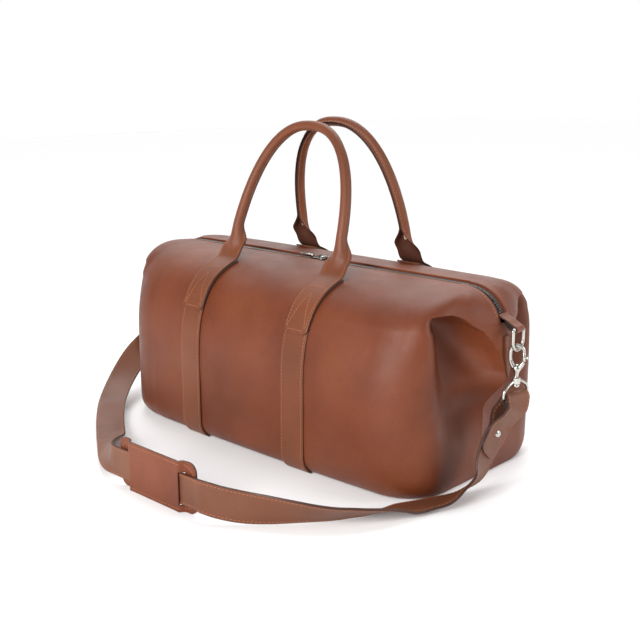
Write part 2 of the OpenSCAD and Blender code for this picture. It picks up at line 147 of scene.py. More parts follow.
class Shape:
    """Vertices and faces of one piece, gathered part by part."""

    def __init__(self):
        self.verts = []
        self.faces = []
        self.kinds = []

    def add(self, verts, faces, kind=0):
        start = len(self.verts)
        self.verts.extend(np.asarray(verts, float).reshape(-1, 3).tolist())
        self.faces.extend(tuple(start + v for v in f) for f in faces)
        self.kinds.extend([kind] * len(faces) if np.isscalar(kind) else kind)
        return self

    def sheet(self, outer, inner, kind=0):
        """Closed sheet between two grids of points."""
        rows, cols = outer.shape[:2]
        size = rows * cols
        faces = grid(rows, cols) + [f[::-1] for f in grid(rows, cols, start=size)]
        for i in range(rows - 1):
            for j in (0, cols - 1):
                a, b = i * cols + j, (i + 1) * cols + j
                faces.append((a, b, size + b, size + a) if j == 0 else (b, a, size + a, size + b))
        for j in range(cols - 1):
            for i in (0, rows - 1):
                a, b = i * cols + j, i * cols + j + 1
                faces.append((b, a, size + a, size + b) if i == 0 else (a, b, size + b, size + a))
        return self.add(np.concatenate([outer.reshape(-1, 3), inner.reshape(-1, 3)]), faces, kind)

    def rings(self, rings, kind=0, closed=False):
        """Closed skin through rings of points."""
        rings = np.asarray(rings, float)
        rows, cols = rings.shape[:2]
        if closed:
            rings = np.concatenate([rings, rings[:1]])
            faces = [tuple(v % (rows * cols) for v in f) for f in grid(rows + 1, cols, True)]
            return self.add(rings[:-1], faces, kind)
        faces = grid(rows, cols, True)
        faces += [tuple(range(cols))[::-1], tuple(range((rows - 1) * cols, rows * cols))]
        if not np.isscalar(kind):
            kind = list(kind) * (rows - 1) + [kind[0]] * 2
        return self.add(rings, faces, kind)

    def tube(self, points, radius, sides=16, closed=False):
        """Round wire along points. The radius is one number or one for each point."""
        points = np.asarray(points, float)
        radius = np.broadcast_to(radius, len(points))
        if closed:
            ahead = np.roll(points, -1, axis=0) - np.roll(points, 1, axis=0)
        else:
            ahead = np.gradient(points, axis=0)
        ahead = unit(ahead)
        side = unit(np.cross(ahead[0], (0.31, 0.57, 0.76)))
        turn = np.linspace(0, 2 * pi, sides, endpoint=False)
        rings = []
        for p, d, r in zip(points, ahead, radius):
            side = unit(side - d * (side @ d))
            other = np.cross(d, side)
            rings.append(p + r * (np.outer(np.cos(turn), side) + np.outer(np.sin(turn), other)))
        return self.rings(rings, closed=closed)

    def turned(self, profile, at=(0, 0, 0), up=(0, 0, 1), sides=32):
        """Turned part: profile is (radius, height) pairs, from one end to the other."""
        up = unit(up)
        side = unit(np.cross(up, (0.31, 0.57, 0.76)))
        other = np.cross(up, side)
        turn = np.linspace(0, 2 * pi, sides, endpoint=False)
        circle = np.outer(np.cos(turn), side) + np.outer(np.sin(turn), other)
        return self.rings([np.asarray(at) + up * h + circle * max(r, 0.02) for r, h in profile])

    def plate(self, outline, low, high, place, round_edge=0.3):
        """Flat part with rounded edges, from an outline that is star-shaped about its middle."""
        outline = np.asarray(outline, float)
        middle = outline.mean(axis=0)
        rings = []
        near = round_edge * 0.3
        for inset, h in ((round_edge, low), (near, low + near), (0, low + round_edge),
                         (0, high - round_edge), (near, high - near), (round_edge, high)):
            away = outline - middle
            size = np.linalg.norm(away, axis=1, keepdims=True)
            flat = middle + away * (size - inset) / size
            rings.append([place(u, v, h) for u, v in flat])
        return self.rings(rings)


def piece(name, shape, materials, body, nodes=(), sharp=38, blend=None):
    """Makes a mesh object of a shape, with its materials, its body and the CAD nodes that it stands for."""
    mesh = bpy.data.meshes.new(name)
    mesh.from_pydata((np.array(shape.verts) * 0.001).tolist(), [], shape.faces)
    materials = materials if isinstance(materials, (list, tuple)) else [materials]
    for m in materials:
        mesh.materials.append(m)
    mesh.polygons.foreach_set("material_index", shape.kinds)
    bm = bmesh.new()
    bm.from_mesh(mesh)
    bmesh.ops.recalc_face_normals(bm, faces=bm.faces)
    bm.to_mesh(mesh)
    bm.free()
    mesh.shade_smooth()
    mesh.set_sharp_from_angle(angle=radians(sharp))
    obj = bpy.data.objects.new(name, mesh)
    bpy.context.scene.collection.objects.link(obj)
    if blend:
        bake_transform(obj)
    else:
        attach(obj, body)
    if nodes:
        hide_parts(*nodes)
    return obj


def add_stitches(shape, points, normals, pitch=4.3, length=3.1, radius=0.42, lean=0.16):
    """A row of thread stitches along points, proud of the leather, each leaning a little."""
    both = resample(np.concatenate([points, normals], axis=1), pitch)
    p, up = both[:, :3], unit(both[:, 3:])
    ahead = unit(np.gradient(p, axis=0))
    side = np.cross(up, ahead)
    faces = grid(4, 6, True) + [tuple(range(6))[::-1], tuple(range(18, 24))]
    sixths = np.linspace(0, 2 * pi, 6, endpoint=False)
    for c, d, s, n in zip(p[1:-1], ahead[1:-1], side[1:-1], up[1:-1]):
        d = unit(d + s * lean)
        s = np.cross(n, d)
        rings = []
        for k, r in ((-0.5, 0.45), (-0.28, 1), (0.28, 1), (0.5, 0.45)):
            middle = c + d * k * length + n * (0.12 if abs(k) < 0.4 else -0.12)
            rings += [middle + radius * r * (s * cos(a) + n * sin(a)) for a in sixths]
        shape.add(rings, faces)


# --- Materials --------------------------------------------------------------------------------

def new_material(name):
    m = bpy.data.materials.new(name)
    m.use_nodes = True
    tree = m.node_tree
    return m, tree, tree.nodes["Principled BSDF"]


def link(tree, a, b):
    tree.links.new(a, b)


def node(tree, kind, **inputs):
    """A node with its sockets set by name, or linked where the value is another socket."""
    n = tree.nodes.new(kind)
    for key, value in inputs.items():
        socket = n.inputs[key.replace("_", " ")]
        if isinstance(value, bpy.types.NodeSocket):
            link(tree, value, socket)
        else:
            socket.default_value = value
    return n


def ramp(tree, factor, *stops):
    n = tree.nodes.new("ShaderNodeValToRGB")
    link(tree, factor, n.inputs["Fac"])
    while len(n.color_ramp.elements) < len(stops):
        n.color_ramp.elements.new(0.5)
    for e, (at, colour) in zip(n.color_ramp.elements, stops):
        e.position = at
        e.color = (*colour, 1) if len(colour) == 3 else colour
    return n


def place_noise(tree, scale, detail=2, stretch=None):
    """Noise fixed to the object, scale in cells a metre."""
    coords = tree.nodes.new("ShaderNodeTexCoord")
    out = coords.outputs["Object"]
    if stretch:
        mapping = node(tree, "ShaderNodeMapping", Vector=out, Scale=stretch)
        out = mapping.outputs["Vector"]
    return node(tree, "ShaderNodeTexNoise", Vector=out, Scale=scale, Detail=detail)


def leather(name, shade, colour, light, rough=0.5, grain=1.0, grain_size=1.0, shine=0.3):
    """Pebbled leather: cloudy colour, fine creased grain, pores, and a finish that varies a little."""
    m, tree, bsdf = new_material(name)
    cloud = place_noise(tree, 11, 4)
    base = ramp(tree, cloud.outputs["Fac"], (0.32, shade), (0.5, colour), (0.7, light))
    coords = tree.nodes.new("ShaderNodeTexCoord")
    warp = place_noise(tree, 260, 2)
    vec = tree.nodes.new("ShaderNodeVectorMath")
    vec.operation = "MULTIPLY_ADD"
    link(tree, warp.outputs["Color"], vec.inputs[0])
    vec.inputs[1].default_value = (0.0011, 0.0011, 0.0011)
    link(tree, coords.outputs["Object"], vec.inputs[2])
    cells = node(tree, "ShaderNodeTexVoronoi", Vector=vec.outputs[0], Scale=720 / grain_size)
    cells.feature = "DISTANCE_TO_EDGE"
    crease = ramp(tree, cells.outputs["Distance"],
                  (0.0, (0, 0, 0)), (0.16, (0.8, 0.8, 0.8)), (0.5, (1, 1, 1)))
    fine = place_noise(tree, 2600, 2)
    height = node(tree, "ShaderNodeMix", Factor=0.25)
    link(tree, crease.outputs["Color"], height.inputs["A"])
    link(tree, fine.outputs["Fac"], height.inputs["B"])
    tone = node(tree, "ShaderNodeMix")
    tone.data_type = "RGBA"
    tone.blend_type = "MULTIPLY"
    tone.inputs["Factor"].default_value = 0.28
    link(tree, base.outputs["Color"], tone.inputs["A"])
    link(tree, crease.outputs["Color"], tone.inputs["B"])
    link(tree, tone.outputs["Result"], bsdf.inputs["Base Color"])
    finish = ramp(tree, place_noise(tree, 35, 3).outputs["Fac"],
                  (0.3, (rough - 0.05,) * 3), (0.7, (rough + 0.07,) * 3))
    link(tree, finish.outputs["Color"], bsdf.inputs["Roughness"])
    bump = node(tree, "ShaderNodeBump", Strength=0.55 * grain, Distance=0.00022, Height=height.outputs[0])
    link(tree, bump.outputs["Normal"], bsdf.inputs["Normal"])
    bsdf.inputs["Specular IOR Level"].default_value = shine
    return m


def cloth(name, dark, light, cell, rough=0.85, bump_mm=0.25):
    """Plain weave with the threads crossing at cell millimetres."""
    m, tree, bsdf = new_material(name)
    coords = tree.nodes.new("ShaderNodeTexCoord")
    height = None
    for k, turn in enumerate(((0, 0, radians(45)), (0, radians(90), radians(45)))):
        mapping = node(tree, "ShaderNodeMapping", Vector=coords.outputs["Object"], Rotation=turn)
        wave = node(tree, "ShaderNodeTexWave", Vector=mapping.outputs["Vector"],
                    Scale=1000 / cell / 6.28, Distortion=0.4)
        if height is None:
            height = wave.outputs["Fac"]
        else:
            both = tree.nodes.new("ShaderNodeMath")
            both.operation = "MAXIMUM"
            link(tree, height, both.inputs[0])
            link(tree, wave.outputs["Fac"], both.inputs[1])
            height = both.outputs[0]
    base = ramp(tree, height, (0.2, dark), (0.9, light))
    link(tree, base.outputs["Color"], bsdf.inputs["Base Color"])
    bump = node(tree, "ShaderNodeBump", Strength=0.6, Distance=bump_mm / 1000, Height=height)
    link(tree, bump.outputs["Normal"], bsdf.inputs["Normal"])
    bsdf.inputs["Roughness"].default_value = rough
    return m


def metal(name, dark, light, rough, scratch=0.3):
    """Plated metal with a fine brushed finish and slight clouding."""
    m, tree, bsdf = new_material(name)
    cloud = place_noise(tree, 160, 3)
    base = ramp(tree, cloud.outputs["Fac"], (0.3, dark), (0.7, light))
    link(tree, base.outputs["Color"], bsdf.inputs["Base Color"])
    brush = place_noise(tree, 900, 2, stretch=(1, 1, 0.08))
    finish = ramp(tree, brush.outputs["Fac"], (0.3, (rough - 0.08,) * 3), (0.7, (rough + 0.1,) * 3))
    link(tree, finish.outputs["Color"], bsdf.inputs["Roughness"])
    bump = node(tree, "ShaderNodeBump", Strength=scratch, Distance=0.00004, Height=brush.outputs["Fac"])
    link(tree, bump.outputs["Normal"], bsdf.inputs["Normal"])
    bsdf.inputs["Metallic"].default_value = 1
    return m


def thread(name, dark, light):
    m, tree, bsdf = new_material(name)
    twist = place_noise(tree, 1500, 1)
    base = ramp(tree, twist.outputs["Fac"], (0.35, dark), (0.65, light))
    link(tree, base.outputs["Color"], bsdf.inputs["Base Color"])
    bump = node(tree, "ShaderNodeBump", Strength=0.4, Distance=0.0001, Height=twist.outputs["Fac"])
    link(tree, bump.outputs["Normal"], bsdf.inputs["Normal"])
    bsdf.inputs["Roughness"].default_value = 0.7
    return m


body_leather = leather("body_leather",
                       (0.124, 0.0265, 0.008), (0.156, 0.036, 0.0115), (0.188, 0.047, 0.016), 0.44)
trim_leather = leather("trim_leather",
                       (0.138, 0.039, 0.0145), (0.17, 0.049, 0.019), (0.2, 0.061, 0.026), 0.42)
strap_leather = leather("strap_leather",
                        (0.13, 0.044, 0.02), (0.162, 0.055, 0.0255), (0.19, 0.068, 0.033), 0.44, 0.8)
flesh_side = leather("flesh_side",
                     (0.085, 0.027, 0.014), (0.105, 0.034, 0.018), (0.13, 0.044, 0.024), 0.75, 0.5, 0.6)
edge_paint = leather("edge_paint",
                     (0.04, 0.015, 0.01), (0.055, 0.02, 0.013), (0.07, 0.027, 0.017), 0.45, 0.1)
stitch_thread = thread("stitch_thread", (0.26, 0.085, 0.038), (0.4, 0.15, 0.07))
lining_cloth = cloth("lining_cloth", (0.03, 0.02, 0.015), (0.06, 0.042, 0.032), 0.9)
zip_cloth = cloth("zip_cloth", (0.035, 0.016, 0.014), (0.085, 0.045, 0.04), 0.7)
rope_cloth = cloth("rope_cloth", (0.35, 0.28, 0.2), (0.6, 0.5, 0.38), 1.6)
nickel = metal("nickel", (0.44, 0.42, 0.39), (0.56, 0.54, 0.5), 0.24)
dark_nickel = metal("dark_nickel", (0.1, 0.09, 0.08), (0.2, 0.185, 0.165), 0.3)
board = leather("board",
                (0.03, 0.026, 0.022), (0.045, 0.04, 0.035), (0.06, 0.052, 0.045), 0.8, 0.4, 0.5)


# --- Body surface: the CAD's formulas, with slack at the ends and a fuller lower face ------------

def face_m(s):
    """Share of the half width at step s: 0 to 1 is the bottom corner, 1 to 2 the side, 2 to 3 the top."""
    low = 1 - BASE_R / HALF_W * (1 - np.sin(pi / 2 * np.clip(s, 0, 1)))
    top = np.clip(np.cos(pi / 2 * np.clip(s - 2, 0, 1)), 0, 1) ** (2 / FACE_N)
    return np.where(s < 1, low, np.where(s < 2, 1, top))


def step_z(s, t):
    low = t + (BASE_R - t) * (1 - np.cos(pi / 2 * np.clip(s, 0, 1)))
    side = BASE_R + (SIDE_Z - BASE_R) * (s - 1)
    top = SIDE_Z + (BODY_H - t - SIDE_Z) * np.sin(pi / 2 * np.clip(s - 2, 0, 1)) ** (2 / FACE_N)
    return np.where(s < 1, low, np.where(s < 2, side, top))


def end_m_at(z):
    """Share of an end's length beyond the spine at height z."""
    return np.clip(1 - np.clip((z - END_Z) / (BODY_H - END_Z), 0, 1) ** END_N, 0, 1) ** (1 / END_N)


def under_lip(y, z, t):
    """Distance below the lip on an end, or 0 above it. Sheets t inside have a smaller lip."""
    y = abs(y) + 0.4 * t
    z = z - 0.4 * t
    high = LIP_TOP - LIP_FOOT
    lip_z = LIP_TOP - high * (np.clip(LIP_Y - abs(y), 0, None) / LIP_Y) ** LIP_POWER
    lip_out = LIP_Y * (1 - np.clip((LIP_TOP - z) / high, 0, 1) ** (1 / LIP_POWER))
    a, b = np.clip(abs(y) - lip_out, 0, None), np.clip(lip_z - z, 0, None)
    return a * b / np.maximum(np.hypot(a, b), 1e-6)


def end_shift(y, z, t=0):
    """How far an end stands out: its lean to the ridge, less the tuck below the lip."""
    d = under_lip(y, z, t)
    soft = 6 + 22 * smooth(165, 95, z)
    tuck = (1 - np.exp(-d / soft)) * np.exp(-d / 80) * smooth(104, 56, abs(y)) * smooth(30, 150, z)
    return END_LEAN * smooth(85, 135, z) * bell(y, 50) - (TUCK_DEPTH + t) * tuck


def zip_gap(z, extra):
    """Distance of a panel's edge from the middle line, wider where the zip is."""
    return extra + ZIP_HALF * smooth(ZIP_END_Z - 8, ZIP_END_Z + 2, z)


def skin(px, py, s, t, gap):
    """Points of the front half: plan point (px, py), step s, moved in by t and gap off the middle."""
    on_end = np.clip(abs(px) - SPINE_X, 0, None) / (BASE_X - SPINE_X)
    z = step_z(s, t)
    z0 = step_z(s, 0)
    slack = smooth(15, 50, abs(py)) * np.where(px < 0, 1, 0.3)
    slack_m = (1 - np.clip((z0 - SLACK_Z) / (BODY_H - SLACK_Z), 0, 1) ** SLACK_N) ** (1 / SLACK_N)
    end_m = np.where(s < 1, face_m(s), end_m_at(z0) * (1 - slack) + slack_m * slack)
    m = np.maximum(0.02, face_m(s) + (end_m - face_m(s)) * on_end)
    x = np.clip(px, -SPINE_X, SPINE_X)
    y = m * py
    shift = end_shift(y, z, t) * on_end * m * np.sign(px)
    g = zip_gap(z, gap)
    d = under_lip(y, z, t) / PULL_SPAN
    pull = (LIP_PULL + t) * d * np.exp(1 - d) * smooth(100, 60, abs(y)) * smooth(125, 160, z) * on_end
    full = 6 * bell(px - 185, 55) * smooth(5, 40, z) * smooth(190, 110, z)
    depth = g + abs(y) * (HALF_W - g) / HALF_W + full * smooth(60, 130, abs(y))
    return np.stack([x + m * (px - x) + shift, -depth, z + pull], axis=-1)


def outline(t, end=44, corner=20, face=30):
    """Front half of the plan outline, from the right end round to the left end, moved in by t."""
    def end_and_corner(r):
        ends = [(BASE_X - t, -i * (HALF_W - r) / end) for i in range(end + 1)]
        turn = [pi / 2 * i / corner for i in range(1, corner + 1)]
        return ends + [(BASE_X - r + (r - t) * cos(a), -(HALF_W - r) - (r - t) * sin(a)) for a in turn]

    faces = []
    for x in np.linspace(BASE_X - CORNER_R, LEFT_CORNER_R - BASE_X, 2 * face + 1)[1:-1]:
        faces.append((x, -(HALF_W - t) - BULGE * (1 - min(1, abs(x) / (BASE_X - CORNER_R)) ** 2)))
    left = [(-x, y) for x, y in end_and_corner(LEFT_CORNER_R)[::-1]]
    return np.array(end_and_corner(CORNER_R) + faces + left)


def even_steps(count):
    """Steps up the side at even distances, closer together beside the lip."""
    s = np.linspace(0, 3, 3001)
    y, z = HALF_W * face_m(s), step_z(s, 0)
    closer = 1 + 1.2 * smooth(118, 140, z) * smooth(224, 214, z)
    length = np.concatenate([[0], np.cumsum(np.hypot(np.diff(y), np.diff(z)) * closer[1:])])
    return np.interp(np.linspace(0, length[-1], count), length, s)


STEPS = even_steps(120)


def half_grid(t, gap):
    plan = outline(t)
    return skin(plan[:, :1], plan[:, 1:], STEPS[None, :], t, gap)


def soften(points):
    """Slight unevenness of stuffed leather, as a push along x and y that grows away from the edges."""
    out = points.copy()
    for row in out:
        for p in row:
            n = noise.noise(Vector((p[0] / 95, p[1] / 95, p[2] / 80 + 3.1)))
            fine = noise.noise(Vector((p[0] / 34 + 7, p[1] / 34, p[2] / 30)))
            edge = min(1, p[2] / 40) * min(1, max(0, -p[1] - 14) / 30)
            p[1] += edge * (1.3 * n + 0.35 * fine)
            p[0] += edge * np.sign(p[0]) * min(1, max(0, abs(p[0]) - 200) / 50) * (1.3 * n + 0.3 * fine)
    return out


def to_back(points):
    return points * np.array([1, -1, 1])


def shell(name, t_out, t_in, gap, materials, body_node, back):
    outer = soften(half_grid(t_out, gap))
    inner = soften(half_grid(t_in, gap))
    if back:
        outer, inner = to_back(outer), to_back(inner)
    return piece(name, Shape().sheet(outer, inner), materials, "bag", [body_node])


lining_at = LEATHER + LINING_IN
for side in ("front", "back"):
    back = side == "back"
    shell(f"{side}_body", 0, LEATHER, FIT, body_leather, f"{side}_panel", back)
    shell(f"{side}_lining", lining_at, lining_at + LINING_T, LINING_GAP, lining_cloth,
          f"lining_{side}", back)


# --- Bands on the front and back --------------------------------------------------------------

def on_face(x, s, lift):
    """Point on the front face at length x and step s, raised off the leather by lift."""
    y = (HALF_W + lift) + BULGE * (1 - (x / (BASE_X - CORNER_R)) ** 2)
    z = step_z(s, -lift)
    g = zip_gap(z, FIT)
    depth = g + np.maximum(0.02, face_m(s)) * y * (HALF_W - g) / HALF_W
    return np.stack(np.broadcast_arrays(x, -depth, z), axis=-1)


def leather_profile(half, thick):
    """Cross-section of a stitched strip: across and height pairs, top first, with rounded edges."""
    top = []
    for a in np.linspace(-half + 0.9, half - 0.9, 19):
        dip = 0.28 * exp(-((abs(a) - (half - STITCH_IN)) / 0.8) ** 2)
        top.append((a, thick - dip))
    right = [(half - 0.3, thick - 0.35), (half, thick * 0.55), (half - 0.15, 0.1)]
    low = [(half - 0.6, 0), (0, 0), (-half + 0.6, 0)]
    left = [(-half + 0.15, 0.1), (-half, thick * 0.55), (-half + 0.3, thick - 0.35)]
    kinds = [0] * 18 + [0, 1, 1, 1, 1, 1, 1, 1, 1, 0]
    return top + right + low + left, kinds


def face_steps(low, high, spacing):
    s = np.linspace(low, high, 400)
    line = on_face(0.0, s, 0)
    length = np.concatenate([[0], np.cumsum(np.linalg.norm(np.diff(line, axis=0), axis=1))])
    return np.interp(np.linspace(0, length[-1], int(length[-1] / spacing) + 1), length, s)


profile, edge_kinds = leather_profile(STRAP_W / 2, LEATHER)
for side in ("front", "back"):
    for name, x in (("left", -BAND_X), ("right", BAND_X)):
        steps = face_steps(0.3, TAB_HIGH - 0.03, 4)
        rings = np.array([[on_face(x + a, s, FIT + b) for a, b in profile] for s in steps])
        thread_rows = Shape()
        for edge in (-1, 1):
            row_x = x + edge * (STRAP_W / 2 - STITCH_IN)
            line = np.array([on_face(row_x, s, FIT + LEATHER - 0.1) for s in steps])
            above = np.array([on_face(row_x, s, FIT + LEATHER + 1) for s in steps])
            if side == "back":
                line, above = to_back(line), to_back(above)
            add_stitches(thread_rows, line, above - line)
        if side == "back":
            rings = to_back(rings)
        piece(f"band_{side}_{name}_strip", Shape().rings(rings, edge_kinds), [trim_leather, edge_paint],
              "bag", [f"band_{side}_{name}"])
        piece(f"band_{side}_{name}_stitches", thread_rows, stitch_thread, "bag")


# --- Handles: a flat strip that wraps round a rope core above each tab --------------------------

WRAP_R = 5.3
ROPE_R = 3.5
TILTED_ABOVE = 11       # the strip leaves the tab's slope at this height over the hinge
STATION = 3.0
WRAP_TURN = radians(150)
HALF_STRIP = STRAP_W / 2


def wrap_section(across, wrap, lift):
    """Point of the strip's cross-section: across and outward, for a strip wrapped by wrap (0 to 1)."""
    turn_at = WRAP_R * WRAP_TURN
    steps = np.linspace(0, abs(across), max(2, int(abs(across) / 0.5) + 1))
    middle = (steps[:-1] + steps[1:]) / 2

    def angle(s):
        back = WRAP_TURN - (WRAP_TURN - pi / 2) * np.clip((s - turn_at) / 2.4, 0, 1)
        return wrap * np.where(s < turn_at, s / WRAP_R, back)

    d = steps[1] - steps[0]
    u = np.sum(np.cos(angle(middle))) * d
    v = -np.sum(np.sin(angle(middle))) * d
    end = float(angle(np.array(abs(across))))
    return (np.sign(across) * (u + lift * sin(end)), v + lift * cos(end))


def handle_stations(tilt, hinge_y, tab_high):
    """Middle line of a handle's strip on the front, from the left tab's end to the right tab's end."""
    tab_s = face_steps(TAB_LOW, tab_high - 0.06, 2)
    tab = on_face(-BAND_X, tab_s, LEATHER + 3 * FIT + LEATHER / 2)
    lean = np.array([0, sin(tilt), cos(tilt)])
    out = np.array([0, -cos(tilt), sin(tilt)])
    hinge = np.array([0, hinge_y, HINGE_Z])

    def arch(a):
        x = -BAND_X * np.sign(cos(a)) * abs(cos(a)) ** (2 / ARCH_N)
        h = 2.5 + (HANDLE_H - 2.5) * sin(a) ** (2 / ARCH_N)
        return hinge + np.array([x, 0, 0]) + lean * h

    arc = [arch(a) for a in np.linspace(0.0, pi / 2, 300)]
    arc = [p for p in arc if (p - hinge) @ lean > TILTED_ABOVE]
    start, end = tab[-1], arc[0]
    corner = np.array([-BAND_X, hinge_y - 1.5, start[2] + 1.8])
    bend = [start * (1 - t) ** 2 + corner * 2 * t * (1 - t) + end * t * t
            for t in np.linspace(0, 1, 12)[1:-1]]
    left = np.array(list(tab) + bend + arc)
    right = left[::-1][1:] * np.array([-1, 1, 1])
    p = resample(np.concatenate([left, right]), STATION)
    for _ in range(2):
        p[1:-1] = (p[:-2] + 2 * p[1:-1] + p[2:]) / 4
    ahead = unit(np.gradient(p, axis=0))
    height = (p - hinge) @ lean
    rise = np.stack([0 * ahead[:, 0], -ahead[:, 2], ahead[:, 1]], axis=1)
    flat = unit(rise * np.where(p[:, :1] > 0, -1, 1))
    normal = np.where((height > TILTED_ABOVE)[:, None], out, flat)
    wrap = smooth(4, 44, height)
    return {"middle": p, "p": p + normal * (WRAP_R * wrap)[:, None], "normal": normal,
            "across": np.cross(ahead, normal), "wrap": wrap, "height": height,
            "length": np.arange(len(p)) * STATION}


def strip_at(line, length, across, lift):
    """Point on the handle strip at a length along it, a distance across, and a height off its middle."""
    i = min(len(line["p"]) - 2, max(0, int(length / STATION)))
    f = min(1, max(0, length / STATION - i))
    at = {k: line[k][i] * (1 - f) + line[k][i + 1] * f
          for k in ("p", "normal", "across", "wrap", "height")}
    u, v = wrap_section(across, at["wrap"], lift)
    v += 3.2 * exp(-((at["height"] - 14) / 8) ** 2 - (across / 6.5) ** 2)
    return at["p"] + at["across"] * u + at["normal"] * v


def end_width(line, length):
    """Half width of the strip near its rounded ends."""
    d = min(length, line["length"][-1] - length)
    corner = 6
    return HALF_STRIP - corner + sqrt(max(0, corner ** 2 - (corner - min(d, corner)) ** 2))


def handle_ring(line, length):
    half = end_width(line, length)
    thick = 1.0
    ring = []
    for a in np.linspace(-1, 1, 37):
        edge = max(0, abs(a) - 0.955) / 0.045
        groove = 0.2 * exp(-((abs(a) * half - (half - 3.3)) / 0.8) ** 2)
        ring.append(strip_at(line, length, a * half, thick - 0.45 * edge - groove))
    ring.append(strip_at(line, length, half + 0.35, 0))
    for a in np.linspace(1, -1, 37):
        edge = max(0, abs(a) - 0.955) / 0.045
        ring.append(strip_at(line, length, a * half, -thick + 0.45 * edge))
    ring.append(strip_at(line, length, -half - 0.35, 0))
    return ring


def handle_stitches(line):
    """Stitches along both edges, across both tabs, and crossed on each tab."""
    shape = Shape()
    total = line["length"][-1]
    inset = HALF_STRIP - 3.3

    def row(points):
        on = np.array([strip_at(line, v, a, 0.95) for v, a in points])
        above = np.array([strip_at(line, v, a, 2) for v, a in points])
        add_stitches(shape, on, above - on)

    for edge in (-1, 1):
        row([(v, edge * inset) for v in np.arange(4, total - 4, 3)])
    for start, way in ((0, 1), (total, -1)):
        for along_tab in (4, 66):
            row([(start + way * along_tab, a) for a in np.linspace(-inset + 1, inset - 1, 12)])
        for edge in (-1, 1):
            row([(start + way * (4 + 52 * t), edge * (inset - 1) * (1 - t)) for t in np.linspace(0, 1, 24)])
    return shape


handle_kinds = [0] * 35 + [1, 1, 1] + [2] * 35 + [1, 1, 1]
near_end = [0, 0.25, 0.8, 1.6, 2.8, 4.2, 6]
front_handle = ("front", 1, 18.5, HINGE_Y, TAB_HIGH)
back_handle = ("back", -1, 14, HINGE_Y - 7, 2.78)
for side, sign, tilt, hinge_y, tab_high in (front_handle, back_handle):
    line = handle_stations(radians(tilt), hinge_y, tab_high)
    total = line["length"][-1]
    lengths = near_end + list(np.arange(9, total - 7, 3.0)) + [total - d for d in near_end[::-1]]
    cover = Shape().rings([handle_ring(line, v) for v in lengths], handle_kinds)
    rows = handle_stitches(line)
    core = Shape().tube(line["middle"][line["height"] > 24], ROPE_R, 14)
    for shape in (cover, rows, core):
        shape.verts = [(x, sign * y, z) for x, y, z in shape.verts]
    body = f"handle_{side}"
    low = (0, sign * hinge_y / 1000, (HINGE_Z - 3.5) / 1000)
    high = (0, sign * hinge_y / 1000, (HINGE_Z + 7) / 1000)
    over_hinge = ("bag", body, low, high)
    piece(f"handle_{side}_strip", cover, [trim_leather, edge_paint, flesh_side], body,
          [f"handle_{side}", f"tab_{side}_left", f"tab_{side}_right"], blend=over_hinge)
    piece(f"handle_{side}_stitches", rows, stitch_thread, body, blend=over_hinge)
    piece(f"handle_{side}_rope", core, rope_cloth, body, [f"handle_core_{side}"])


# --- Zip --------------------------------------------------------------------------------------

def zip_line(t, low=ZIP_END_Z + 2):
    """Zip line over the top and down both ends as x, z pairs, t below the leather."""
    turn = np.linspace(0, pi / 2, 200)
    end = np.stack([SPINE_X + (BASE_X + END_LEAN - t - SPINE_X) * np.sin(turn) ** (2 / END_N),
                    END_Z + (BODY_H - t - END_Z) * np.cos(turn) ** (2 / END_N)], axis=1)
    end = end[end[:, 1] > low]
    right = np.concatenate([[[0, BODY_H - t]], end])
    left = right[::-1][:-1] * np.array([-1, 1])
    return resample(np.concatenate([left, right]), 3.0)


def zip_normals(points):
    ahead = unit(np.gradient(points, axis=0))
    return np.stack([-ahead[:, 1], ahead[:, 0]], axis=1)


centre = zip_line(LEATHER + FIT)
away = zip_normals(centre)
for side, sign in (("front", -1), ("back", 1)):
    rings = []
    for p, n in zip(centre, away):
        ring = []
        for y, h in ((2.8, 0.1), (3.4, 0.35), (4.2, 0.05), (8, 0), (12, 0), (12, -0.9), (2.8, -0.9)):
            q = p + n * h
            ring.append((q[0], sign * y, q[1]))
        rings.append(ring)
    piece(f"zip_tape_{side}_weave", Shape().rings(rings), zip_cloth, "bag", [f"zip_tape_{side}"])

teeth = Shape()
for k, (p, n) in enumerate(zip(centre[1:-1], away[1:-1])):
    along_zip = np.array([n[1], -n[0]])

    def tooth_point(u, v, h):
        q = p + along_zip * u + n * h
        return (q[0], v, q[1])

    shift = -0.5 if k % 2 else 0.5
    tooth = [(-0.8, -2.1 + shift), (0.8, -2.1 + shift), (0.95, 0.5 * shift), (0.8, 2.1 + shift),
             (-0.8, 2.1 + shift), (-0.95, 0.5 * shift)]
    teeth.plate(tooth, -0.9, 1.0, tooth_point, 0.25)
piece("zip_chain", teeth, dark_nickel, "bag", ["zip_teeth"])

edge_line = zip_line(0, 201)
edge_away = zip_normals(edge_line)
zip_thread = Shape()
for sign in (-1, 1):
    on = np.stack([edge_line[:, 0], 0 * edge_line[:, 0] + sign * 12.2, edge_line[:, 1]], axis=1)
    up = np.stack([edge_away[:, 0], 0 * edge_away[:, 0], edge_away[:, 1]], axis=1)
    add_stitches(zip_thread, on, up)
piece("zip_stitches", zip_thread, stitch_thread, "bag")


def round_outline(points, corner, count=5):
    """Outline with its corners rounded."""
    points = np.asarray(points, float)
    out = []
    for i in range(len(points)):
        a, b, c = points[i - 1], points[i], points[(i + 1) % len(points)]
        r = min(corner, np.linalg.norm(a - b) * 0.45, np.linalg.norm(c - b) * 0.45)
        start, end = b + unit(a - b) * r, b + unit(c - b) * r
        out += [start * (1 - t) ** 2 + b * 2 * t * (1 - t) + end * t * t for t in np.linspace(0, 1, count)]
    return out


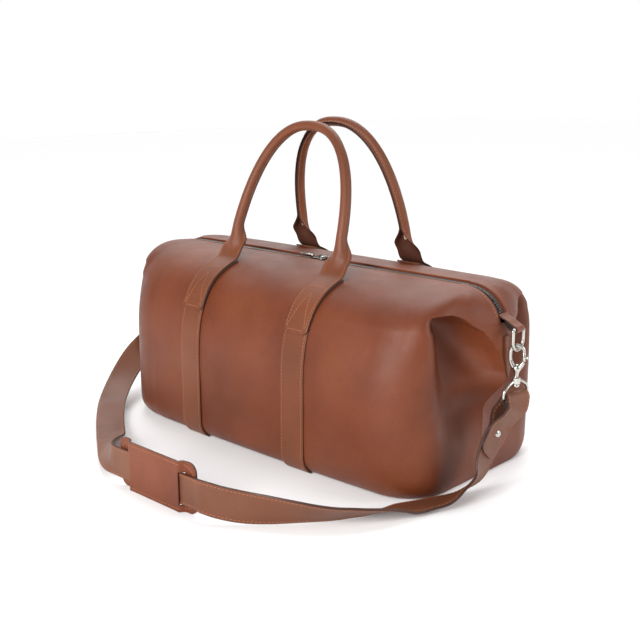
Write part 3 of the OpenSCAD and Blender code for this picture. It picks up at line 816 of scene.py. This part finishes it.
for side, sign in (("left", -1), ("right", 1)):
    def slider_point(u, v, h):
        return (sign * (SLIDER_X + u), v, SLIDER_Z + h)

    def pull_point(u, v, h):
        return (sign * (SLIDER_X + u), v, PULL_Z + h)

    slider = Shape()
    shield = round_outline([(-5.4, -4.2), (-5.4, 4.2), (1.5, 5), (5.4, 3.4), (5.4, -3.4), (1.5, -5)], 1.6)
    slider.plate(shield, -0.1, 1.5, slider_point, 0.45)
    for y in (-4.4, 4.4):
        slider.tube([slider_point(u, y, -0.5) for u in np.linspace(-4.6, 4.2, 8)], 0.65, 10)
    arc = [slider_point(3.2 * cos(a), 0, 1.1 + 4.6 * sin(a)) for a in np.linspace(0.05, pi - 0.05, 16)]
    slider.tube(arc, 0.85, 12)
    piece(f"slider_{side}_body", slider, dark_nickel, f"slider_{side}", [f"slider_{side}"])

    pull = Shape()
    round_turn = np.linspace(0, 2 * pi, 28, endpoint=False)
    ring = [pull_point(3.4 + 3.6 * cos(a), 2.9 * sin(a), 0.2 * cos(a)) for a in round_turn]
    pull.tube(ring, 0.75, 10, closed=True)
    leaf = [(16 + 9.5 * cos(a), (3.3 + 0.9 * cos(a)) * sin(a)) for a in round_turn]
    pull.plate(leaf, -1.0, 0.6, pull_point, 0.5)
    rim = [pull_point(16 + 8.3 * cos(a), (2.4 + 0.8 * cos(a)) * sin(a), 0.7) for a in round_turn]
    pull.tube(rim, 0.5, 8, closed=True)
    piece(f"pull_{side}_tab", pull, nickel, f"pull_{side}", [f"pull_{side}"])


# --- Rings, hooks and chapes ------------------------------------------------------------------

def turned_place(sign, turn):
    """Places u, v, z of a part that is turned about the vertical line through its ring."""
    def place(u, v, z):
        return (sign * RING_X + u * cos(turn) - v * sin(turn), u * sin(turn) + v * cos(turn), z)
    return place


def corner_path(points, r):
    """Path through points with corners of radius r, closed."""
    rounded = round_outline(points, r, 9)
    return resample(rounded + rounded[:1], 1.2)[:-1]


for side, sign in (("left", -1), ("right", 1)):
    x = RING_X * sign
    bar_end = BOW_R - RING_BEND
    bar = [(x, y, BAR_Z) for y in np.linspace(-bar_end, bar_end, 10)]
    turn_in = [(x, bar_end + RING_BEND * sin(a), BAR_Z - RING_BEND + RING_BEND * cos(a))
               for a in np.linspace(0.2, pi / 2, 6)]
    bow = [(x, BOW_R * cos(a), BOW_Z - BOW_R * sin(a)) for a in np.linspace(0, pi, 30)]
    turn_out = [(x, -y, z) for _, y, z in turn_in[::-1]]
    ring = Shape().tube(bar + turn_in + bow + turn_out, RING_WIRE, 20, closed=True)
    piece(f"d_ring_{side}_wire", ring, nickel, f"d_ring_{side}", [f"d_ring_{side}"])

    outward = HOOK_TURN if sign > 0 else HOOK_TURN + pi
    place = turned_place(sign, outward)
    hook = Shape()
    path = [(LOOP_R * cos(a), LOOP_TOP - LOOP_R + LOOP_R * sin(a)) for a in np.linspace(0, pi, 20)]
    path += [(-LOOP_R, LOOP_LOW + 13), (-LOOP_R + 0.6, LOOP_LOW + 9), (-5, LOOP_LOW + 4),
             (-2.6, LOOP_LOW + 0.5), (0, LOOP_LOW - 0.6), (2.6, LOOP_LOW + 0.5), (5, LOOP_LOW + 4),
             (LOOP_R - 0.5, GATE_Z - 2.4)]
    path = resample(path, 1.0)
    for _ in range(3):
        path[1:-1] = (path[:-2] + 2 * path[1:-1] + path[2:]) / 4
    low_part = smooth(LOOP_LOW + 12, LOOP_LOW + 2, path[:, 1])
    hook.tube([place(u, 0, z) for u, z in path], 2.0 + 0.8 * low_part, 18)
    neck = [(0.3, 0), (2.5, 0.3), (2.6, 3), (3.2, 5.5), (4.6, 8.5), (5.0, 11), (3.4, 14), (0.3, 15.5)]
    stem = [(0.5, -0.2), (3.6, 0.1), (4.0, 0.7), (4.0, 2.2), (3.6, 2.8), (2.4, 3.0), (2.4, 12.5), (0.5, 12.6)]
    hook.turned(neck, place(0, 0, BARREL_Z + 4.2))
    hook.turned(stem, place(0, 0, BARREL_Z - 7.4))
    piece(f"hook_{side}_loop", hook, nickel, f"hook_{side}", [f"hook_{side}"])

    gate = Shape()
    gate.turned([(0.3, -1.7), (1.3, -1.4), (1.8, -0.6), (1.9, 0.3), (1.9, 9.0), (1.6, 9.4), (0.3, 9.5)],
                place(LOOP_R, 0, GATE_Z))
    gate.turned([(0.9, 0), (1.0, 1.6), (1.5, 2.2), (1.7, 3.2), (1.4, 4.0), (0.2, 4.2)],
                place(LOOP_R + 1, 0, GATE_Z + 3), (cos(outward), sin(outward), 0), 20)
    piece(f"gate_{side}_latch", gate, nickel, f"gate_{side}", [f"gate_{side}"])

    place = turned_place(sign, STRAP_TURN)
    half = STRAP_W / 2 + 3
    corners = [(-half, RING_LOW), (half, RING_LOW), (half - 1, RING_LOW + 11), (8, BARREL_Z - 1),
               (-8, BARREL_Z - 1), (1 - half, RING_LOW + 11)]
    frame_path = [place(u, 0, z) for u, z in corner_path(corners, 5)]
    hoop = Shape().tube(frame_path, 1.8, 16, closed=True)
    barrel = [(2.5, -4.1), (4.4, -4.1), (5.0, -3.4), (5.0, 3.4), (4.4, 4.1), (2.5, 4.1)]
    hoop.turned(barrel, place(0, 0, BARREL_Z))
    piece(f"strap_ring_{side}_frame", hoop, nickel, "strap", [f"strap_ring_{side}"])


def ridge(z, lift):
    """Point on the ridge of the right end at height z, raised by lift."""
    m = end_m_at(z)
    x = SPINE_X + m * (BASE_X - SPINE_X) + m * end_shift(0.0, z)
    return float(x) + lift


def lens(z):
    """Half width of the pointed tab at height z."""
    share = min(1, max(0, (z - LIP_FOOT + 4) / (TAB_TOP - LIP_FOOT + 4)))
    return 0.4 + 7 * sin(radians(125) * share) ** 0.8


for side, sign in (("left", -1), ("right", 1)):
    tab = Shape()
    rings = []
    for z in np.linspace(LIP_FOOT - 4, TAB_TOP, 34):
        w = lens(z)
        ring = [(sign * ridge(z, 0.6 + LEATHER - 0.5 * abs(k) ** 6), k * w, z)
                for k in np.linspace(-1, 1, 15)]
        ring += [(sign * ridge(z, 0.4), k * w, z) for k in np.linspace(1, -1, 7)]
        rings.append(ring)
    tab.rings(rings, [0] * 14 + [1] * 8)
    piece(f"end_tab_{side}_leaf", tab, [trim_leather, edge_paint], "bag", [f"end_tab_{side}"])
    rows = Shape()
    for edge in (-1, 1):
        line_z = np.linspace(LIP_FOOT + 6, TAB_TOP - 4, 30)
        on = np.array([(sign * ridge(z, 0.6 + LEATHER), edge * (lens(z) - 2), z) for z in line_z])
        add_stitches(rows, on, np.tile([sign, 0, 0.3], (30, 1)), radius=0.34, length=2.6, pitch=3.6)
    piece(f"end_tab_{side}_stitches", rows, stitch_thread, "bag")

    fold = [(ridge(206, 0.5), 206), (ridge(203, 3), 203.5), (302, 200), (308, 196.5)]
    fold += [(RING_X + FOLD_R * cos(a), BAR_Z + FOLD_R * sin(a))
             for a in np.linspace(radians(75), radians(-110), 14)]
    fold += [(304, 190.5), (299, 194), (ridge(198, 1.5), 197)]
    fold = resample(fold, 1.0)
    fold[1:-1] = (fold[:-2] + 2 * fold[1:-1] + fold[2:]) / 4
    out = zip_normals(fold)
    rings = []
    for i, (p, n) in enumerate(zip(fold, out)):
        w = 7.6 + 1.2 * max(0, 1 - i / 8)
        ring = []
        for k in np.linspace(-1, 1, 13):
            lift = 1.05 - 0.4 * abs(k) ** 6
            ring.append((sign * (p[0] + n[0] * lift), k * w, p[1] + n[1] * lift))
        ring += [(sign * (p[0] - n[0] * 1.0), k * w, p[1] - n[1] * 1.0) for k in np.linspace(1, -1, 7)]
        rings.append(ring)
    piece(f"ring_chape_{side}_fold", Shape().rings(rings, [0] * 12 + [1] * 8), [trim_leather, edge_paint],
          "bag", [f"ring_chape_{side}"])


# --- Shoulder strap ---------------------------------------------------------------------------

strap_path = np.array([
    [305, -46, 52], [306.5, -32, 68], [308.5, -23, 80], [314, -13, 91], [317.5, -6, 101],
    [315, -1, 113], [309, 0.5, 116], [304.5, 0, 108], [303, -8, 94], [305, -22, 80],
    [303, -31, 67.5], [301.5, -43, 46], [301, -55, 27], [294, -74, 15], [286, -93, 7.5],
    [276, -114, 5], [268, -135, 5], [262, -156, 8], [254, -184, 12], [243, -204, 14],
    [230, -222, 15], [215, -239, 17], [198, -255, 19], [178, -270, 20], [157, -284, 21],
    [137, -297, 24], [118, -306, 27.5], [104, -307, 28], [70, -307, 28], [34, -307, 28],
    [-4, -307, 28], [-42, -307, 28], [-62, -300, 27], [-88, -282, 23], [-123, -255, 16],
    [-168, -224, 9], [-217, -190, 8], [-260, -155, 15], [-292, -114, 33], [-307, -76, 57],
    [-312, -45, 73], [-314.5, -22, 86], [-316.5, -7, 98], [-315, -1, 111], [-309, 0.5, 116],
    [-304.5, -1, 106], [-306.5, -12, 94], [-311, -24, 86.5], [-308.5, -46, 74], [-305, -60, 66],
])
strap_across = np.array([
    [.05, -.95, .25], [-.05, -.98, .1], [-.1, -.99, .05], [-.1, -.99, 0], [-.1, -.99, 0],
    [-.1, -.99, 0], [-.1, -.99, 0], [-.1, -.99, 0], [-.1, -.99, 0], [-.1, -.99, .05],
    [-.05, -.98, .1], [.05, -.95, .25], [.3, -.85, .35], [.5, -.78, .3], [.6, -.8, .12],
    [.62, -.78, .1], [.63, -.77, .12], [.6, -.73, .3], [.55, -.66, .5], [.52, -.6, .6],
    [.48, -.53, .68], [.42, -.44, .78], [.3, -.32, .88], [.15, -.17, .98], [0, -.03, 1],
    [-.05, .03, 1], [-.03, .05, 1], [0, 0, 1], [0, 0, 1], [0, 0, 1],
    [0, 0, 1], [0, 0, 1], [.2, .25, .9], [.42, .5, .72], [.6, .62, .4],
    [.68, .7, .12], [.7, .7, 0], [.76, .64, -.08], [.78, .6, -.15], [.62, .74, -.2],
    [.4, .88, -.15], [.2, .97, -.05], [.1, .99, 0], [.1, .99, 0], [.1, .99, 0],
    [.1, .99, 0], [.1, .99, 0], [.15, .98, -.05], [.3, .94, -.15], [.34, .92, -.18],
])


def along(points, t):
    """Point on a smooth curve through points, t steps from the first."""
    i = min(len(points) - 2, int(t))
    s = t - i
    a, b, c, d = points[max(0, i - 1)], points[i], points[i + 1], points[min(len(points) - 1, i + 2)]
    square = (2 * a - 5 * b + 4 * c - d) * s * s
    cube = (3 * b - a - 3 * c + d) * s ** 3
    return 0.5 * (2 * b + (c - a) * s + square + cube)


strap_t = np.linspace(0, len(strap_path) - 1, 8 * (len(strap_path) - 1) + 1)
strap_p = np.array([along(strap_path, t) for t in strap_t])
strap_d = unit(np.gradient(strap_p, axis=0))
raw = np.array([along(strap_across, t) for t in strap_t])
strap_a = unit(raw - strap_d * np.sum(raw * strap_d, axis=1, keepdims=True))
strap_n = np.cross(strap_a, strap_d)
strap_len = np.concatenate([[0], np.cumsum(np.linalg.norm(np.diff(strap_p, axis=0), axis=1))])


def strap_half(length):
    """Half width of the strap, rounded at its two ends."""
    d = min(length, strap_len[-1] - length)
    return STRAP_W / 2 - 9 + sqrt(max(0, 81 - (9 - min(d, 9)) ** 2))


def strap_profile(half):
    """Cross-section with both faces grooved for stitches: across, height pairs."""
    side = []
    for a in np.linspace(-1, 1, 17):
        groove = 0.22 * exp(-((abs(a) * half - (half - 3.2)) / 0.9) ** 2)
        side.append((a * (half - 0.8), STRAP_T / 2 - groove))
    edge = [(half - 0.15, STRAP_T / 2 - 0.6), (half, 0), (half - 0.15, -STRAP_T / 2 + 0.6)]
    return side + edge + [(-a, -h) for a, h in side] + [(-a, -h) for a, h in edge]


rings = []
for p, a, n, v in zip(strap_p, strap_a, strap_n, strap_len):
    rings.append([p + a * u + n * h for u, h in strap_profile(max(1.5, strap_half(v)))])
strap_kinds = [0] * 16 + [1] * 4 + [0] * 16 + [1] * 4
piece("shoulder_strap_band", Shape().rings(rings, strap_kinds), [strap_leather, edge_paint], "strap",
      ["shoulder_strap"])

rows = Shape()
inside = slice(6, -6)
for edge in (-1, 1):
    for face in (-1, 1):
        on = strap_p + strap_a * edge * (STRAP_W / 2 - 3.2) + strap_n * face * (STRAP_T / 2 - 0.05)
        add_stitches(rows, on[inside], (strap_n * face)[inside], pitch=4.6)
piece("shoulder_strap_stitches", rows, stitch_thread, "strap")

rivets = Shape()
cap = [(4.1, 0), (4.3, 0.5), (4.0, 1.0), (3.0, 1.6), (1.6, 2.0), (0.1, 2.1)]
for at, out in (((303.5, -28, 73), (.96, -.2, .2)), ((-310, -39, 77), (.9, -.3, .3))):
    out = unit(out)
    at = np.array(at, float)
    for base, way in ((at + out * 5.0, 1), (at - out * 1.4, -1)):
        rivets.turned(cap, base, out * way, 28)
    rivets.turned([(1.2, -1.5), (1.2, 5.5)], at, out, 12)
piece("strap_rivet_caps", rivets, nickel, "strap", ["strap_rivets"])


# --- Shoulder pad -----------------------------------------------------------------------------

PAD_X = 37
PAD_Y = -307
PAD_Z = 28
PAD_L = 136
PAD_W = 60
PAD_CORNER = 11
PAD_MIDDLE = 30.5       # height of the pad's middle; the strap's is PAD_Z


def pad_y(x, lift):
    """The pad lies before the strap in the middle and behind it at both ends."""
    d = abs(x - PAD_X)
    front = PAD_Y - STRAP_T / 2 - 0.5 - LEATHER / 2
    back = PAD_Y + STRAP_T / 2 + 0.5 + LEATHER / 2
    return front + (back - front) * smooth(44, 50, d) + lift


def pad_mesh():
    """The pad's middle surface, with a slot for the strap near each end."""
    columns = list(np.linspace(-68, -50, 8)) + [-48.5, -46.5, -44.5] + list(np.linspace(-43, 43, 36))
    columns += [44.5, 46.5, 48.5] + list(np.linspace(50, 68, 8))
    heights = [-27.5, -26.7, -25, -23, -21.2, -19.6] + list(np.linspace(-17.5, 17.5, 14))
    heights += [19.6, 21.2, 23.5, 26, 28.5, 30.5, 31.8, 32.5]
    verts = []
    for u in columns:
        for h in heights:
            over = max(0, abs(PAD_Z + h - PAD_MIDDLE) - (PAD_W / 2 - PAD_CORNER))
            inset = PAD_CORNER - sqrt(max(0, PAD_CORNER ** 2 - over ** 2))
            x = PAD_X + u * (PAD_L / 2 - inset) / (PAD_L / 2)
            verts.append((x, pad_y(x, 0), PAD_Z + h))
    faces = []
    rows = len(heights)
    for i in range(len(columns) - 1):
        for j in range(len(heights) - 1):
            middle_u = abs(columns[i] + columns[i + 1]) / 2
            middle_h = abs(heights[j] + heights[j + 1]) / 2
            if 44.5 < middle_u < 49.5 and middle_h < 19.6:
                continue
            faces.append((i * rows + j, (i + 1) * rows + j, (i + 1) * rows + j + 1, i * rows + j + 1))
    return Shape().add(verts, faces)


pad = piece("shoulder_pad_leather", pad_mesh(), [body_leather, edge_paint], "pad", ["shoulder_pad"])
thick = pad.modifiers.new("thickness", "SOLIDIFY")
thick.thickness = 0.0024
thick.offset = 0
thick.material_offset_rim = 1
bevel = pad.modifiers.new("edge", "BEVEL")
bevel.width = 0.0005
bevel.segments = 2
bevel.limit_method = "ANGLE"
bevel.angle_limit = radians(50)

rows = Shape()
squareness = 0.32
loop = []
for a in np.linspace(0, 2 * pi, 200):
    u = (PAD_L / 2 - STITCH_IN - 0.1) * np.sign(cos(a)) * abs(cos(a)) ** squareness
    h = (PAD_W / 2 - STITCH_IN - 0.1) * np.sign(sin(a)) * abs(sin(a)) ** squareness
    loop.append((PAD_X + u, pad_y(PAD_X + u, -1.2), PAD_MIDDLE + h))
loop = resample(loop, 2.0)
add_stitches(rows, loop, np.tile([0, -1, 0], (len(loop), 1)))
piece("shoulder_pad_stitches", rows, stitch_thread, "pad")


# --- Inside pieces kept from the CAD ----------------------------------------------------------

def dress(name, material):
    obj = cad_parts[name]
    obj.data.materials.clear()
    obj.data.materials.append(material)


dress("base_panel", body_leather)
dress("base_board", board)
dress("lining_base", lining_cloth)


# --- Stage ------------------------------------------------------------------------------------

floor_mesh = bpy.data.meshes.new("floor")
floor_mesh.from_pydata([(-6, -6, 0), (6, -6, 0), (6, 9, 0), (-6, 9, 0)], [], [(0, 1, 2, 3)])
floor = bpy.data.objects.new("floor", floor_mesh)
bpy.context.scene.collection.objects.link(floor)
white, tree, bsdf = new_material("floor_white")
bsdf.inputs["Base Color"].default_value = (0.8, 0.8, 0.8, 1)
bsdf.inputs["Roughness"].default_value = 0.9
bsdf.inputs["Specular IOR Level"].default_value = 0.1
bsdf.inputs["Emission Color"].default_value = (1, 1, 1, 1)
bsdf.inputs["Emission Strength"].default_value = 0.12
floor_mesh.materials.append(white)

# The studio is white behind the bag and dimmer in front of it.
scene = bpy.context.scene
scene.view_settings.view_transform = "Standard"
world = bpy.data.worlds.new("studio")
world.use_nodes = True
tree = world.node_tree
sky = tree.nodes.new("ShaderNodeTexCoord").outputs["Generated"]
behind = tree.nodes.new("ShaderNodeVectorMath")
behind.operation = "DOT_PRODUCT"
link(tree, sky, behind.inputs[0])
behind.inputs[1].default_value = (-0.68, 0.73, 0)
shade = ramp(tree, behind.outputs["Value"], (0.3, (0.27, 0.27, 0.27)), (0.72, (1, 1, 1)))
link(tree, shade.outputs["Color"], tree.nodes["Background"].inputs["Color"])
scene.world = world


def area_light(name, at, aim, size, power):
    data = bpy.data.lights.new(name, "AREA")
    data.shape = "RECTANGLE"
    data.size, data.size_y = size
    data.energy = power
    light = bpy.data.objects.new(name, data)
    light.location = at
    light.rotation_euler = (Vector(aim) - Vector(at)).to_track_quat("-Z", "Y").to_euler()
    scene.collection.objects.link(light)


sun = bpy.data.lights.new("overhead", "SUN")
sun.energy = 2.4
sun.angle = radians(50)
overhead = bpy.data.objects.new("overhead", sun)
overhead.rotation_euler = (Vector((0.35, -0.5, -1))).to_track_quat("-Z", "Y").to_euler()
scene.collection.objects.link(overhead)
area_light("front_light", (0.4, -1.7, 0.9), (0.2, 0, 0.15), (0.8, 0.8), 40)
area_light("right_light", (1.9, 1.0, 0.9), (0.25, 0, 0.15), (1.0, 1.0), 20)

camera_data = bpy.data.cameras.new("camera")
camera_data.lens = 56.25
camera_data.sensor_width = 36
camera = bpy.data.objects.new("camera", camera_data)
camera.location = (0.895, -0.952, 0.471)
camera.rotation_euler = (radians(90 - 13.8), 0, radians(43.1))
scene.collection.objects.link(camera)
scene.camera = camera
